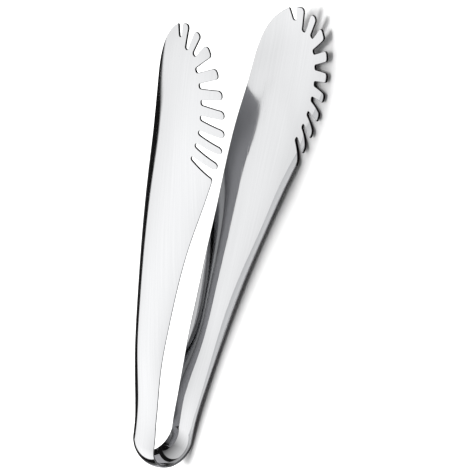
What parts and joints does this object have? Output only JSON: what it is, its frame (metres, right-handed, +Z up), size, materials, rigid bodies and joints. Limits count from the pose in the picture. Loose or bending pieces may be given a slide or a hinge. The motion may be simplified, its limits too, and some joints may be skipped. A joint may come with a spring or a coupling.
{
  "type": "pasta tongs",
  "caption": "Sprung pasta tongs bent from a strip of polished steel sheet: mirrored gutter-shaped arms joined by a bow, with cupped heads cut into a comb of rounded teeth.",
  "frame": {"origin": "centre of the tongs' bounding box, on the table that they lie on", "axes": "+Z up from the table, +Y from the spring bow towards the heads, +X towards the side that the combs are on"},
  "size_m": [0.077, 0.275, 0.084],
  "materials": {
    "lower_arm_steel": "mirror-polished stainless steel",
    "upper_arm_steel": "mirror-polished stainless steel",
    "spring_bow_steel": "mirror-polished stainless steel"
  },
  "bodies": {
    "lower_half": {"lower_arm": "lower_arm_steel", "spring_bow": "spring_bow_steel"},
    "upper_half": {"upper_arm": "upper_arm_steel"}
  },
  "joints": [
    {"name": "bow_flex", "type": "hinge", "parent": "lower_half", "child": "upper_half", "pos_m": [-0.02047, -0.1311, 0.01521], "axis": [0.9598, 0.0395, -0.2779], "range_deg": [-14.4, 3], "stiffness_Nm_per_rad": 6, "springref_deg": 1.12, "deforming": ["spring_bow"]}
  ]
}
